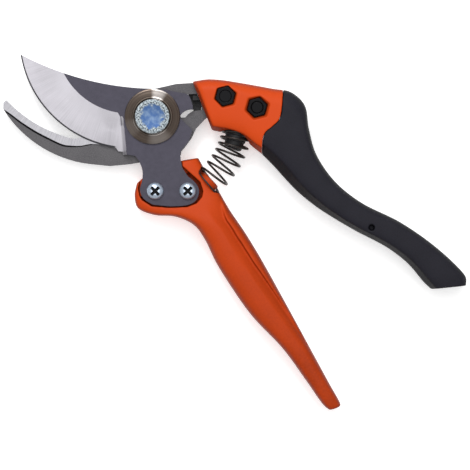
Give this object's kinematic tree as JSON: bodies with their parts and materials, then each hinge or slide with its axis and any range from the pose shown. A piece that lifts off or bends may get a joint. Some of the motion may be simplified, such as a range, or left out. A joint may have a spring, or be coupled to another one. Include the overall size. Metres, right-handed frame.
{
  "type": "bypass pruner",
  "caption": "Hand pruner with a curved cutting blade passing a hooked counter-blade, orange handles, a rubber grip, a return spring and a safety catch.",
  "frame": {"origin": "centre of the pivot bolt head's front face", "axes": "+Z along the pivot axis out of the bolt head, +X from the blades to the handles"},
  "size_m": [0.1943, 0.1492, 0.02],
  "materials": {
    "forged_steel": "dark blasted",
    "ground_steel": "ground",
    "zinc_plate": "zinc plated",
    "bronze_collar": "turned, brown tint",
    "dark_steel": "black oxide",
    "orange_plastic": "semi-gloss",
    "grip_rubber": "matt",
    "black_plastic": "matt"
  },
  "bodies": {
    "hook_side": {"counter_blade": "forged_steel", "pivot_bolt": "zinc_plate", "pivot_collar": "bronze_collar", "pivot_washer": "dark_steel", "pivot_nut": "zinc_plate", "upper_casing": "orange_plastic", "upper_grip": "grip_rubber", "clamp_bolt_inner": "dark_steel", "clamp_nut_inner": "dark_steel", "clamp_bolt_outer": "dark_steel", "clamp_nut_outer": "dark_steel", "spring_boss_upper": "black_plastic", "return_spring": "dark_steel"},
    "blade_side": {"cutting_blade": "ground_steel", "stop_pin": "dark_steel", "lower_handle": "orange_plastic", "blade_screw_left": "zinc_plate", "blade_insert_left": "zinc_plate", "blade_screw_right": "zinc_plate", "blade_insert_right": "zinc_plate", "spring_boss_lower": "orange_plastic"},
    "catch": {"safety_catch": "black_plastic"}
  },
  "joints": [
    {"name": "blade_pivot", "type": "hinge", "parent": "hook_side", "child": "blade_side", "pos_m": [0, 0, 0], "axis": [0, 0, 1], "range_deg": [0, 22], "stiffness_Nm_per_rad": 2, "springref_deg": -20.05, "deforming": ["return_spring"]},
    {"name": "catch_slide", "type": "slide", "parent": "hook_side", "child": "catch", "axis": [-1, 0, 0], "range_m": [0, 0.0062]}
  ]
}
